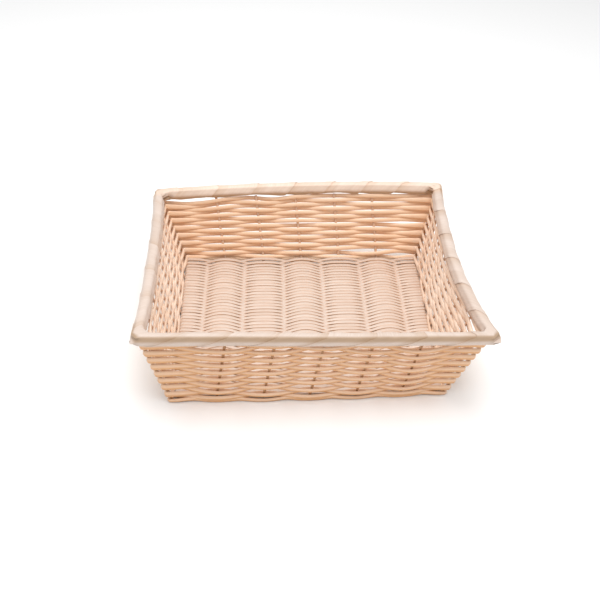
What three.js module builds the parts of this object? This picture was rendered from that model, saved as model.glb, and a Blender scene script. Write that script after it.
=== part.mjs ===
// A shallow rectangular display basket. Round cords are woven in rows round upright stakes, the base
// is a close-woven mat on front-to-back ribs, and the rim is a hoop bound with one wide strap.
// Millimetres, +Z up, front towards -Y. The origin is the middle of the face that it rests on.
import * as THREE from 'three';

// Overall sizes
const rimLength = 325; // outside of the rim, along X
const rimDepth = 265; // outside of the rim, along Y
const basketHeight = 93; // floor to the top of the rim
const baseLength = 273; // outside of the lowest row, along X
const baseDepth = 235; // outside of the lowest row, along Y

// Cords, rods and the clearances between them
const cordDiameter = 4.6;
const stakeDiameter = 3;
const fitGap = 0.35; // between pieces that touch on the real basket
const rowGap = 0.6; // least daylight between two rows of the wall
const cordSides = 6;
const bendSteps = 4; // straight steps in a rounded bend

// Stakes: they stand this far apart along the base, and lean sideways as they rise
const ribSpacing = 44;
const sideStakeSpacing = 31.5;
const sideStakeSpread = 2.5; // added to the side spacing at the rim
const frontLean = 8;
const backLean = -8;

// Rim
const hoopWidth = 10;
const hoopHeight = 11.4;
const hoopSides = 8;
const strapThickness = 0.8;
const strapTurns = 26;
const strapSlit = 1.8; // gap between one turn and the next, along the rim
const rimCornerRadius = 10;
const leftRimBow = 5; // how far the middle of a side rim is drawn in
const rightRimBow = 18;

// Base mat
const strandThickness = 0.9; // above and below a rib
const valleyThickness = 4.6; // of the mat, between two ribs
const ribRise = 1.2; // every other rib lies this much higher
const edgeRodMargin = 0.8; // mat left outside an edge rod
const footRowSlack = 0.35; // share of the weave offset that the foot row keeps between stakes

// Sizes that follow from the ones above
const cordRadius = cordDiameter / 2;
const cordHalfHeight = cordRadius * Math.cos(Math.PI / cordSides);
const stakeRadius = stakeDiameter / 2;
const weaveOffset = stakeRadius + fitGap + cordRadius;
const bendRadius = weaveOffset + fitGap;

const strapReach = fitGap + strapThickness;
const rimWidth = hoopWidth + 2 * strapReach;
const rimHeight = hoopHeight + 2 * strapReach;
const rimUnderside = basketHeight - rimHeight;

// Heights above the floor
const ribLevel = strandThickness + fitGap + stakeRadius;
const footRowLevel = Math.max(ribLevel, cordHalfHeight + fitGap);
const firstRowLevel = footRowLevel + cordDiameter + rowGap;
const lastRowLevel = rimUnderside - fitGap - cordHalfHeight;
const hoopLevel = basketHeight - rimHeight / 2;
const rowSteps = Math.floor((lastRowLevel - firstRowLevel) / (2 * cordHalfHeight + rowGap));
const rowPitch = (lastRowLevel - firstRowLevel) / rowSteps;

// The wall's middle surface, from the foot row up to the hoop
const footHalfLength = baseLength / 2 - weaveOffset - cordRadius;
const footHalfDepth = baseDepth / 2 - weaveOffset - cordRadius;
const headHalfLength = (rimLength - rimWidth) / 2;
const headHalfDepth = (rimDepth - rimWidth) / 2;
const wallHeight = hoopLevel - footRowLevel;
const leftSlope = (headHalfLength + cornerSetback(leftRimBow) - footHalfLength) / wallHeight;
const rightSlope = (headHalfLength + cornerSetback(rightRimBow) - footHalfLength) / wallHeight;
const frontSlope = (headHalfDepth - footHalfDepth) / wallHeight;
const steepestSlope = Math.max(Math.abs(leftSlope), Math.abs(rightSlope), Math.abs(frontSlope));

// Leaning rods have square ends, so one edge of an end stands higher than its middle
const endRise = stakeRadius * steepestSlope;
const stakeTop = rimUnderside - fitGap - endRise;
const stakeBottom = fitGap + endRise;

const ribCount = Math.round((2 * footHalfLength) / ribSpacing) - 1;
const sideStakeCount = Math.round((2 * footHalfDepth) / sideStakeSpacing) - 1;

// The mat ends short of the first row at front and back, and beside the side stakes
const firstRowHalfDepth = footHalfDepth + frontSlope * (firstRowLevel - footRowLevel);
const matHalfDepth = firstRowHalfDepth - weaveOffset - cordRadius - fitGap;
const stakeFootInset = stakeRadius + steepestSlope * (footRowLevel - stakeBottom + endRise) + endRise;
const matHalfLength = footHalfLength - stakeFootInset - fitGap;
const edgeRodPlace = matHalfLength - edgeRodMargin - fitGap - stakeRadius;

// Materials
const cordMaterial = new THREE.MeshStandardMaterial({ color: 0xf0cba0, roughness: 0.4, metalness: 0 });
const stakeMaterial = new THREE.MeshStandardMaterial({ color: 0xc4915c, roughness: 0.5, metalness: 0 });
const matMaterial = new THREE.MeshStandardMaterial({ color: 0xf3d7ba, roughness: 0.42, metalness: 0 });
const strapMaterial = new THREE.MeshStandardMaterial({ color: 0xf2e6d4, roughness: 0.45, metalness: 0 });
const hoopMaterial = new THREE.MeshStandardMaterial({ color: 0xc9a477, roughness: 0.6, metalness: 0 });

// A drawn-in side meets the front at a wide angle, so its rounded corner stands back from the sharp one
function cornerSetback(bow) {
  const angle = Math.atan((2 * bow) / headHalfDepth);
  return rimCornerRadius * ((1 + Math.sin(angle)) / Math.cos(angle) - 1);
}

// A stake runs straight from its foot, at the foot row, to its head, in the middle of the hoop
function stakeLine(foot, head, outward, isCorner = false) {
  const at = (level) => foot.clone().lerp(head, (level - footRowLevel) / wallHeight);
  return { at, outward, isCorner };
}

// Places of evenly spaced stakes, about the middle of a wall
function spread(count, spacing) {
  return Array.from({ length: count }, (_, index) => (index - (count - 1) / 2) * spacing);
}

function sideRimPlace(y, bow) {
  return headHalfLength + cornerSetback(bow) - bow * (1 - (y / headHalfDepth) ** 2);
}

function frontOrBackStakes(sideSign, lean) {
  return spread(ribCount, ribSpacing).map((x) => stakeLine(
    new THREE.Vector2(x, sideSign * footHalfDepth),
    new THREE.Vector2(x + lean, sideSign * headHalfDepth),
    new THREE.Vector2(0, sideSign),
  ));
}

function sideStakes(sideSign, bow) {
  const heads = spread(sideStakeCount, sideStakeSpacing + sideStakeSpread);
  return spread(sideStakeCount, sideStakeSpacing).map((y, index) => stakeLine(
    new THREE.Vector2(sideSign * footHalfLength, y),
    new THREE.Vector2(sideSign * sideRimPlace(heads[index], bow), heads[index]),
    new THREE.Vector2(sideSign, 0),
  ));
}

function rimCorner(xSign, ySign) {
  const bow = xSign > 0 ? rightRimBow : leftRimBow;
  return new THREE.Vector2(xSign * sideRimPlace(headHalfDepth, bow), ySign * headHalfDepth);
}

function cornerPost(xSign, ySign) {
  const foot = new THREE.Vector2(xSign * footHalfLength, ySign * footHalfDepth);
  return stakeLine(foot, rimCorner(xSign, ySign), new THREE.Vector2(xSign, ySign), true);
}

const frontStakes = frontOrBackStakes(-1, frontLean);
const backStakes = frontOrBackStakes(1, backLean);
const leftStakes = sideStakes(-1, leftRimBow);
const rightStakes = sideStakes(1, rightRimBow);
const cornerPosts = {
  front_left: cornerPost(-1, -1),
  front_right: cornerPost(1, -1),
  back_right: cornerPost(1, 1),
  back_left: cornerPost(-1, 1),
};

// All stakes in the order in which a row passes them, anticlockwise from the front left corner
const stakeRound = [
  cornerPosts.front_left, ...frontStakes,
  cornerPosts.front_right, ...rightStakes,
  cornerPosts.back_right, ...[...backStakes].reverse(),
  cornerPosts.back_left, ...[...leftStakes].reverse(),
];

// Replaces a corner of a path by an arc, and gives the arc's points
function roundedCorner(before, corner, after, radius) {
  const toBefore = before.clone().sub(corner).normalize();
  const toAfter = after.clone().sub(corner).normalize();
  const halfAngle = Math.acos(THREE.MathUtils.clamp(toBefore.dot(toAfter), -1, 1)) / 2;
  const centre = toBefore.clone().add(toAfter).normalize()
    .multiplyScalar(radius / Math.sin(halfAngle)).add(corner);
  const tangent = radius / Math.tan(halfAngle);
  const start = toBefore.multiplyScalar(tangent).add(corner).sub(centre);
  const end = toAfter.multiplyScalar(tangent).add(corner).sub(centre);
  const turn = Math.PI - 2 * halfAngle;
  return Array.from({ length: bendSteps + 1 }, (_, step) => {
    const share = step / bendSteps;
    const startShare = Math.sin((1 - share) * turn) / Math.sin(turn);
    const endShare = Math.sin(share * turn) / Math.sin(turn);
    return start.clone().multiplyScalar(startShare).addScaledVector(end, endShare).add(centre);
  });
}

// Points of a closed path, whose corners are given as { point, radius }
function roundedLoop(corners) {
  return corners.flatMap(({ point, radius }, index) => {
    if (radius === 0) return [point];
    const before = corners.at(index - 1).point;
    const after = corners[(index + 1) % corners.length].point;
    return roundedCorner(before, point, after, radius);
  });
}

// A geometry from loose triangles, each three points
function solidFromTriangles(triangles) {
  const geometry = new THREE.BufferGeometry();
  geometry.setFromPoints(triangles.flat());
  geometry.computeVertexNormals();
  return geometry;
}

// Triangles between two outlines with the same number of points, both closed
function bandTriangles(outlineA, outlineB) {
  return outlineA.flatMap((point, index) => {
    const next = (index + 1) % outlineA.length;
    return [
      [point, outlineA[next], outlineB[next]],
      [point, outlineB[next], outlineB[index]],
    ];
  });
}

// Outward direction at each point of a closed level path, lengthened at bends so that sides stay parallel
function loopMitres(path) {
  return path.map((point, index) => {
    const arriving = point.clone().sub(path.at(index - 1)).normalize();
    const leaving = path[(index + 1) % path.length].clone().sub(point).normalize();
    const along = arriving.clone().add(leaving).normalize();
    const outward = new THREE.Vector2(along.y, -along.x);
    return outward.divideScalar(along.dot(leaving));
  });
}

// Sweeps a section, given as (outward, up) pairs, round a closed level path
function sweepLoop(path, level, section) {
  const mitres = loopMitres(path);
  const outlines = path.map((point, index) => section.map((corner) => {
    const place = point.clone().addScaledVector(mitres[index], corner.x);
    return new THREE.Vector3(place.x, place.y, level + corner.y);
  }));
  const triangles = outlines.flatMap((outline, index) => (
    bandTriangles(outline, outlines[(index + 1) % outlines.length]).map((corners) => corners.reverse())
  ));
  return solidFromTriangles(triangles);
}

// Sweeps a round section along an open path in space, with flat ends
function sweepRod(path, radius) {
  const side = new THREE.Vector3(1, 0, 0);
  const outlines = path.map((point, index) => {
    const ahead = path[Math.min(index + 1, path.length - 1)];
    const behind = path[Math.max(index - 1, 0)];
    const along = ahead.clone().sub(behind).normalize();
    side.addScaledVector(along, -side.dot(along)).normalize();
    const across = along.clone().cross(side);
    return Array.from({ length: cordSides }, (_, corner) => {
      const angle = (2 * Math.PI * corner) / cordSides;
      return point.clone()
        .addScaledVector(side, radius * Math.cos(angle))
        .addScaledVector(across, radius * Math.sin(angle));
    });
  });
  const sides = outlines.slice(1).flatMap((outline, index) => bandTriangles(outlines[index], outline));
  const cap = ([first, ...rest]) => rest.slice(1).map((point, index) => [first, rest[index], point]);
  const startCap = cap(outlines[0]).map((corners) => corners.reverse());
  return solidFromTriangles([...sides, ...startCap, ...cap(outlines.at(-1))]);
}

function polygonSection(sides, halfWidth, halfHeight, firstAngle) {
  return Array.from({ length: sides }, (_, corner) => {
    const angle = firstAngle + (2 * Math.PI * corner) / sides;
    return new THREE.Vector2(halfWidth * Math.cos(angle), halfHeight * Math.sin(angle));
  });
}

const cordSection = polygonSection(cordSides, cordRadius, cordRadius, 0);

// Where a row passes one stake: outside it when side is 1, inside it when side is -1
function rowCorners(stake, side, level) {
  const place = stake.at(level);
  if (!stake.isCorner) {
    return [{ point: place.addScaledVector(stake.outward, side * weaveOffset), radius: 0 }];
  }
  // Outside a corner post the cord goes round it, and inside it cuts straight across the corner
  const reach = side > 0 ? weaveOffset : 0;
  const back = side > 0 ? stakeDiameter : weaveOffset * Math.SQRT2;
  const { x, y } = stake.outward;
  const onFrontOrBack = place.clone().add(new THREE.Vector2(-x * back, y * reach));
  const onSide = place.clone().add(new THREE.Vector2(x * reach, -y * back));
  const radius = side > 0 ? 0 : 2 * weaveOffset;
  const corners = [{ point: onFrontOrBack, radius }, { point: onSide, radius }];
  if (x * y > 0) corners.reverse();
  if (side > 0) {
    const tip = place.clone().addScaledVector(stake.outward, weaveOffset);
    corners.splice(1, 0, { point: tip, radius: weaveOffset });
  }
  return corners;
}

function wovenRow(rowIndex) {
  const level = firstRowLevel + rowIndex * rowPitch;
  const corners = stakeRound.flatMap((stake, index) => {
    const side = (index + rowIndex) % 2 === 0 ? 1 : -1;
    return rowCorners(stake, side, level);
  });
  return sweepLoop(roundedLoop(corners), level, cordSection);
}

// The foot row passes outside every stake and is drawn in between them
function footRow() {
  const corners = stakeRound.flatMap((stake, index) => {
    const next = stakeRound[(index + 1) % stakeRound.length];
    const middle = stake.at(footRowLevel).lerp(next.at(footRowLevel), 0.5);
    const wall = stake.isCorner ? next : stake;
    middle.addScaledVector(wall.outward, footRowSlack * weaveOffset);
    return [...rowCorners(stake, 1, footRowLevel), { point: middle, radius: 0 }];
  });
  return sweepLoop(roundedLoop(corners), footRowLevel, cordSection);
}

function ribHeight(index) {
  return index % 2 === 0 ? ribLevel + ribRise : ribLevel;
}

function pointAt(place, level) {
  return new THREE.Vector3(place.x, place.y, level);
}

// A rib comes down the front wall, runs back through the mat and climbs the back wall
function rib(index) {
  const level = ribHeight(index);
  const front = frontStakes[index];
  const back = backStakes[index];
  const x = spread(ribCount, ribSpacing)[index];
  const frontTop = pointAt(front.at(stakeTop), stakeTop);
  const frontFoot = pointAt(front.at(level), level);
  const matFront = new THREE.Vector3(x, -matHalfDepth, level);
  const matBack = new THREE.Vector3(x, matHalfDepth, level);
  const backFoot = pointAt(back.at(level), level);
  const backTop = pointAt(back.at(stakeTop), stakeTop);
  return sweepRod([
    frontTop,
    ...roundedCorner(frontTop, frontFoot, matFront, bendRadius),
    matFront,
    matBack,
    ...roundedCorner(matBack, backFoot, backTop, bendRadius),
    backTop,
  ], stakeRadius);
}

function straightStake(stake) {
  const levels = [stakeBottom, stakeTop];
  return sweepRod(levels.map((level) => pointAt(stake.at(level), level)), stakeRadius);
}

function edgeRod(sideSign) {
  const x = sideSign * edgeRodPlace;
  return sweepRod([
    new THREE.Vector3(x, -matHalfDepth, ribLevel),
    new THREE.Vector3(x, matHalfDepth, ribLevel),
  ], stakeRadius);
}

// The mat's section across the ribs: flat below, with a crest over each rib and a bore for each rod
function baseMat() {
  const rods = [
    { x: -edgeRodPlace, level: ribLevel },
    ...spread(ribCount, ribSpacing).map((x, index) => ({ x, level: ribHeight(index) })),
    { x: edgeRodPlace, level: ribLevel },
  ];
  const crest = (rod) => rod.level + stakeRadius + fitGap + strandThickness;
  const outline = new THREE.Shape();
  outline.moveTo(-matHalfLength, 0);
  outline.lineTo(matHalfLength, 0);
  outline.lineTo(matHalfLength, crest(rods.at(-1)));
  outline.lineTo(rods.at(-1).x, crest(rods.at(-1)));
  for (let index = rods.length - 2; index >= 0; index -= 1) {
    const from = rods[index + 1];
    const to = rods[index];
    const middle = (from.x + to.x) / 2;
    outline.quadraticCurveTo((from.x + middle) / 2, crest(from), middle, valleyThickness);
    outline.quadraticCurveTo((to.x + middle) / 2, crest(to), to.x, crest(to));
  }
  outline.lineTo(-matHalfLength, crest(rods[0]));
  outline.closePath();

  const boreSides = 8;
  const boreRadius = (stakeRadius + fitGap) / Math.cos(Math.PI / boreSides);
  outline.holes = rods.map((rod) => new THREE.Path(
    polygonSection(boreSides, boreRadius, boreRadius, Math.PI / boreSides)
      .map((corner) => corner.add(new THREE.Vector2(rod.x, rod.level))),
  ));

  const curveSegments = 3;
  const geometry = new THREE.ExtrudeGeometry(outline, {
    depth: 2 * matHalfDepth, bevelEnabled: false, curveSegments,
  });
  geometry.rotateX(Math.PI / 2);
  geometry.translate(0, matHalfDepth, 0);
  return geometry;
}

// The middle line of the rim, with its sides drawn in
function rimPath() {
  const headOf = (stake) => ({ point: stake.at(hoopLevel), radius: 0 });
  const corner = (xSign, ySign) => ({ point: rimCorner(xSign, ySign), radius: rimCornerRadius });
  return roundedLoop([
    corner(-1, -1),
    corner(1, -1),
    ...rightStakes.map(headOf),
    corner(1, 1),
    corner(-1, 1),
    ...[...leftStakes].reverse().map(headOf),
  ]);
}

// A section round the hoop, this far outside it, that starts at the right of its flat underside
function hoopSection(reach) {
  const stretch = 1 / Math.cos(Math.PI / hoopSides);
  const firstAngle = -Math.PI / 2 + Math.PI / hoopSides;
  return polygonSection(
    hoopSides,
    (hoopWidth / 2 + reach) * stretch,
    (hoopHeight / 2 + reach) * stretch,
    firstAngle,
  );
}

function rimHoop() {
  return sweepLoop(rimPath(), hoopLevel, hoopSection(0));
}

// The strap winds round the hoop. A place on it is a distance along the rim and a number of section
// sides passed since the strap's start, on its inner or its outer face.
function rimStrap() {
  const path = rimPath();
  const mitres = loopMitres(path);
  const stations = [0];
  path.forEach((point, index) => {
    stations.push(stations[index] + point.distanceTo(path[(index + 1) % path.length]));
  });
  const perimeter = stations.at(-1);
  const turnPitch = perimeter / strapTurns;
  const sidePitch = turnPitch / hoopSides;
  const innerSection = hoopSection(fitGap);
  const outerSection = hoopSection(strapReach);

  const strapPoint = (distance, sidesPassed, section) => {
    const round = distance % perimeter;
    const segment = stations.findLastIndex((station) => station <= round);
    const next = (segment + 1) % path.length;
    const share = (round - stations[segment]) / (stations[segment + 1] - stations[segment]);
    const sideIndex = Math.floor(sidesPassed);
    const corner = section[sideIndex % hoopSides].clone()
      .lerp(section[(sideIndex + 1) % hoopSides], sidesPassed - sideIndex);
    const start = path[segment].clone().addScaledVector(mitres[segment], corner.x);
    const end = path[next].clone().addScaledVector(mitres[next], corner.x);
    const place = start.lerp(end, share);
    return new THREE.Vector3(place.x, place.y, hoopLevel + corner.y);
  };

  const firstEdge = (sidesPassed) => sidesPassed * sidePitch + strapSlit / 2;
  const secondEdge = (sidesPassed) => (sidesPassed + hoopSides) * sidePitch - strapSlit / 2;
  const stationsBetween = (low, high) => {
    const rounds = [0, perimeter];
    return rounds.flatMap((offset) => stations.slice(1).map((station) => station + offset))
      .filter((station) => station > low && station < high);
  };

  // On each side of the section the strap is bounded below and above by two chains of places, which
  // share their first and their last place
  const chain = (side, turn, passedAt) => {
    const start = firstEdge(side);
    const end = secondEdge(side + 1);
    return [start, turn, end, ...stationsBetween(start, end)]
      .sort((a, b) => a - b)
      .map((distance) => ({ distance, passed: side + passedAt(distance) }));
  };
  const lowerChain = (side) => chain(side, secondEdge(side), (distance) => (
    Math.max(0, distance - secondEdge(side)) / sidePitch));
  const upperChain = (side) => chain(side, firstEdge(side + 1), (distance) => (
    Math.min(1, (distance - firstEdge(side)) / sidePitch)));

  const triangles = [];
  const innerPoint = ({ distance, passed }) => strapPoint(distance, passed, innerSection);
  const outerPoint = ({ distance, passed }) => strapPoint(distance, passed, outerSection);
  const addFaces = (a, b, c) => {
    triangles.push([a, b, c].map(outerPoint));
    triangles.push([c, b, a].map(innerPoint));
  };
  const addEdge = (from, to) => {
    triangles.push([innerPoint(from), innerPoint(to), outerPoint(to)]);
    triangles.push([innerPoint(from), outerPoint(to), outerPoint(from)]);
  };
  const sideCount = strapTurns * hoopSides - 1;
  for (let side = 0; side < sideCount; side += 1) {
    const lower = lowerChain(side);
    const upper = upperChain(side);
    let low = 0;
    let high = 0;
    while (low + high + 2 < lower.length + upper.length) {
      const canRaiseLow = low + 1 < lower.length;
      const canRaiseHigh = high + 1 < upper.length;
      if (canRaiseLow && (!canRaiseHigh || lower[low + 1].distance <= upper[high + 1].distance)) {
        if (high > 0) addFaces(lower[low], lower[low + 1], upper[high]);
        if (side === 0 || lower[low].distance >= secondEdge(side)) addEdge(lower[low], lower[low + 1]);
        low += 1;
      } else {
        if (low + 1 < lower.length) addFaces(lower[low], upper[high + 1], upper[high]);
        if (side === sideCount - 1 || upper[high].distance < firstEdge(side + 1)) {
          addEdge(upper[high + 1], upper[high]);
        }
        high += 1;
      }
    }
  }

  // Least gap between one turn and the next, measured on points of their edges
  const sampleSteps = 4;
  const samples = (edge, from) => Array.from({ length: hoopSides * sampleSteps }, (_, step) => {
    const passed = from + step / sampleSteps;
    return [innerSection, outerSection].map((section) => strapPoint(edge(passed), passed, section));
  }).flat();
  let leastGap = Infinity;
  for (let turn = 0; turn + 1 < strapTurns; turn += 1) {
    const edgePoints = samples(secondEdge, turn * hoopSides);
    const facingPoints = samples(firstEdge, (turn + 1) * hoopSides);
    edgePoints.forEach((point) => facingPoints.forEach((facing) => {
      leastGap = Math.min(leastGap, point.distanceTo(facing));
    }));
  }
  console.log(`least gap of the strap to itself: ${leastGap.toFixed(2)} mm`);
  return solidFromTriangles(triangles);
}

const basket = new THREE.Group();

function addPiece(name, geometry, material) {
  const piece = new THREE.Mesh(geometry, material);
  piece.name = name;
  basket.add(piece);
}

addPiece('base_mat', baseMat(), matMaterial);
addPiece('left_edge_rod', edgeRod(-1), stakeMaterial);
addPiece('right_edge_rod', edgeRod(1), stakeMaterial);
for (let index = 0; index < ribCount; index += 1) {
  addPiece(`rib_${index + 1}`, rib(index), stakeMaterial);
}
Object.entries(cornerPosts).forEach(([corner, post]) => {
  addPiece(`${corner}_corner_post`, straightStake(post), stakeMaterial);
});
leftStakes.forEach((stake, index) => {
  addPiece(`left_stake_${index + 1}`, straightStake(stake), stakeMaterial);
});
rightStakes.forEach((stake, index) => {
  addPiece(`right_stake_${index + 1}`, straightStake(stake), stakeMaterial);
});
addPiece('foot_row', footRow(), cordMaterial);
for (let index = 0; index <= rowSteps; index += 1) {
  addPiece(`woven_row_${String(index + 1).padStart(2, '0')}`, wovenRow(index), cordMaterial);
}
addPiece('rim_hoop', rimHoop(), hoopMaterial);
addPiece('rim_strap', rimStrap(), strapMaterial);

export default basket;
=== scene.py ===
import bpy
import math
import random
import numpy as np
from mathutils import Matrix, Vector


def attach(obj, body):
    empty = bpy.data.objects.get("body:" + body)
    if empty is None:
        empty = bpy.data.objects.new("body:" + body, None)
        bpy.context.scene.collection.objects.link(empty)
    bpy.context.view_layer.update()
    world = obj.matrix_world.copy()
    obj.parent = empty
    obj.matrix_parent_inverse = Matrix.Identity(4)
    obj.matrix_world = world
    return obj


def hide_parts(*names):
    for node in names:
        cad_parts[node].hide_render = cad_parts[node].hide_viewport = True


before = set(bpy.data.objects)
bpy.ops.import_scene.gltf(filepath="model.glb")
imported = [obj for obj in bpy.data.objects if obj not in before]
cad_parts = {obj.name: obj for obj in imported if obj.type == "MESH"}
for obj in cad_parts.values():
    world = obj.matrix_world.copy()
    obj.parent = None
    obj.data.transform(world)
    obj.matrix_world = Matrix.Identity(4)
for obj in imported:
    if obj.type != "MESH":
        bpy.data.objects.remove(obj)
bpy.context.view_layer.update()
mm = 0.001  # sizes are in millimetres, apart from the finishes and the stage
dice = random.Random(11)  # seeded, so that each run weaves the same basket
print("frame loaded:", len(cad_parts), "nodes")

# Layout: middle line of the wall at the foot row and at the hoop, and where the stakes stand
basket = {
    "footHalfLength": 130.05,
    "footHalfDepth": 111.05,
    "headHalfLength": 156.35,
    "headHalfDepth": 126.35,
    "footLevel": 2.75,
    "hoopLevel": 86.15,
    "ribPlaces": (-88, -44, 0, 44, 88),
    "frontLean": 8,  # how far to the right the ribs lean
    "backLean": -8,
    "sidePlaces": (-78.75, -47.25, -15.75, 15.75, 47.25, 78.75),
    "sideSpread": 34 / 31.5,  # the side stakes stand further apart at the hoop
    "leftBow": 5,  # how far the middle of a side rim is drawn in
    "rightBow": 18,
    "rimCorner": 10,  # radius of the hoop's corners
    # how far inside the rim's corners the heads of the posts stand
    "postInset": {"frontLeft": 3, "frontRight": 7.5, "backRight": 0, "backLeft": 0},
}
upward = (0, 0, 1)


def smoothStep(low, high, value):
    share = np.clip((value - low) / (high - low), 0, 1)
    return share * share * (3 - 2 * share)


def blend(start, end, share):
    return start * (1 - share) + end * share


# A point on the curve that rounds off a corner
def roundOff(first, corner, last, share):
    return first * (1 - share) ** 2 + corner * 2 * share * (1 - share) + last * share ** 2


def unitRows(vectors):
    return vectors / np.linalg.norm(vectors, axis=1)[:, None]


def cornerSetback(bow):
    angle = math.atan(2 * bow / basket["headHalfDepth"])
    return basket["rimCorner"] * ((1 + math.sin(angle)) / math.cos(angle) - 1)


def sideRimPlace(y, bow):
    drawnIn = bow * (1 - (y / basket["headHalfDepth"]) ** 2)
    return basket["headHalfLength"] + cornerSetback(bow) - drawnIn


# Stakes in the order that a row passes them, anticlockwise from the front left corner
def layOutStakes():
    halfLength, halfDepth = basket["footHalfLength"], basket["footHalfDepth"]
    headDepth = basket["headHalfDepth"]
    left, right = basket["leftBow"], basket["rightBow"]
    stakes = []

    def cornerPost(xSign, ySign, bow, corner):
        headX = sideRimPlace(headDepth, bow) - basket["postInset"][corner]
        foot = xSign * halfLength, ySign * halfDepth
        stakes.append((foot, (xSign * headX, ySign * headDepth), True))

    def wallStakes(ySign, lean, places):
        for x in places:
            stakes.append(((x, ySign * halfDepth), (x + lean, ySign * headDepth), False))

    def sideStakes(xSign, bow, places):
        for y in places:
            headY = y * basket["sideSpread"]
            head = xSign * sideRimPlace(headY, bow), headY
            stakes.append(((xSign * halfLength, y), head, False))

    cornerPost(-1, -1, left, "frontLeft")
    wallStakes(-1, basket["frontLean"], basket["ribPlaces"])
    cornerPost(1, -1, right, "frontRight")
    sideStakes(1, right, basket["sidePlaces"])
    cornerPost(1, 1, right, "backRight")
    wallStakes(1, basket["backLean"], basket["ribPlaces"][::-1])
    cornerPost(-1, 1, left, "backLeft")
    sideStakes(-1, left, basket["sidePlaces"][::-1])
    return stakes


stakeRound = layOutStakes()
stakeFeet = np.array([stake[0] for stake in stakeRound], float)
stakeHeads = np.array([stake[1] for stake in stakeRound], float)
isCorner = [stake[2] for stake in stakeRound]
stakeTotal = len(stakeRound)
cornerPosts = [index for index in range(stakeTotal) if isCorner[index]]
frontLeftPost, frontRightPost, backRightPost, backLeftPost = cornerPosts


def isFront(index):
    return index <= frontRightPost


# The bay after this stake is on a side wall
def isSide(index):
    return frontRightPost <= index < backRightPost or index >= backLeftPost


def stakePlaces(level):
    share = (level - basket["footLevel"]) / (basket["hoopLevel"] - basket["footLevel"])
    return stakeFeet + (stakeHeads - stakeFeet) * share


# The basket is woven by hand and stands a little out of true
uneven = {
    "frontFootShift": -2.7,  # to the right at the foot of the front wall
    "backFootShift": 1.8,
    "backFootSpread": 4.2,  # the back of the base is a little longer
    "backSpreadPower": 5,  # mostly at its ends
    "frontFootSkew": 2.8,  # its left front corner is forward and its right one back
    "frontFootBulge": 2.8,  # and its front bulges between them
    "frontRimFall": 1.8,  # the front rim falls from left to middle
    "frontFallReach": (-0.7, 0.3),  # between these shares of its half length
    "backRimArch": (2.8, 3.0, -2.85),  # the back rim rises to the middle and stays high to the right
    "leftRimShift": -1.8,  # the rim's back corners lie further left
    "leftShiftReach": (-100, 0),  # from the first of these places along y, and fully from the second
    "rightRimShift": -5.5,
    "rightShiftReach": (20, 125),
    "rightRimBulge": 4.8,  # and its right side is drawn in less
    "rightBulgeMiddle": 10,
    "rightBulgeHalf": 115,
}


def settle(points):
    x, y, z = points[..., 0], points[..., 1], points[..., 2]
    across = x / basket["footHalfLength"]
    rimAcross = x / basket["headHalfLength"]
    high = np.clip(z / basket["hoopLevel"], 0, 1)
    low = 1 - high
    back = smoothStep(-1, 1, y / basket["footHalfDepth"])
    front = 1 - back
    moved = np.array(points, float)
    spread = uneven["backFootSpread"] * across ** uneven["backSpreadPower"]
    moved[..., 0] += low * front * uneven["frontFootShift"]
    moved[..., 0] += low * back * (uneven["backFootShift"] + spread)
    moved[..., 1] += low * front * uneven["frontFootSkew"] * across
    moved[..., 1] -= low * front * uneven["frontFootBulge"] * np.clip(1 - across ** 2, 0, 1)
    fallen = smoothStep(*uneven["frontFallReach"], rimAcross)
    moved[..., 2] -= high * front * uneven["frontRimFall"] * fallen
    level, rise, fall = uneven["backRimArch"]
    arch = (level + rise * rimAcross + fall * rimAcross ** 2) * high
    arch = arch * smoothStep(0, basket["headHalfDepth"], y)
    moved[..., 1] += arch
    moved[..., 2] += arch
    leftShare = high * np.clip(-rimAcross, 0, 1) ** 2
    rightShare = high * np.clip(rimAcross, 0, 1) ** 2
    bulge = 1 - ((y - uneven["rightBulgeMiddle"]) / uneven["rightBulgeHalf"]) ** 2
    moved[..., 0] += uneven["leftRimShift"] * leftShare * smoothStep(*uneven["leftShiftReach"], y)
    moved[..., 0] += uneven["rightRimShift"] * rightShare * smoothStep(*uneven["rightShiftReach"], y)
    moved[..., 0] += uneven["rightRimBulge"] * rightShare * np.clip(bulge, 0, 1)
    return moved


# A flat grid, and where its vertices lie along and across it, from 0 to 1
def flatGrid(name, steps, sides):
    bpy.ops.object.select_all(action="DESELECT")
    bpy.ops.mesh.primitive_grid_add(x_subdivisions=steps, y_subdivisions=sides, size=1)
    grid = bpy.context.object
    grid.name = name
    grid.data.name = name
    flat = np.empty(len(grid.data.vertices) * 3)
    grid.data.vertices.foreach_get("co", flat)
    shares = flat.reshape(-1, 3) + 0.5
    return grid, shares[:, 0], shares[:, 1]


# Moves the vertices of a piece to places in millimetres
def placeVertices(piece, places):
    piece.data.vertices.foreach_set("co", (places * mm).ravel())
    piece.data.update()


tubes = {
    "weld": 0.005,  # vertices this near to each other become one
    "smoothAngle": 50,
}


# Bends a flat grid into a tube. Its rings are given as (stations, sides, 3), in millimetres
def bendTube(name, rings, closed):
    stations, sides = rings.shape[:2]
    steps = stations if closed else stations - 1
    tube, along, around = flatGrid(name, steps, sides)
    station = np.rint(along * steps).astype(int) % stations
    side = np.rint(around * sides).astype(int) % sides
    placeVertices(tube, settle(rings)[station, side])
    bpy.ops.object.mode_set(mode="EDIT")
    bpy.ops.mesh.select_all(action="SELECT")
    bpy.ops.mesh.remove_doubles(threshold=tubes["weld"] * mm)
    if not closed:
        bpy.ops.mesh.fill_holes(sides=0)
    bpy.ops.mesh.normals_make_consistent(inside=False)
    bpy.ops.object.mode_set(mode="OBJECT")
    bpy.ops.object.shade_smooth_by_angle(angle=math.radians(tubes["smoothAngle"]))
    return tube


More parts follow.
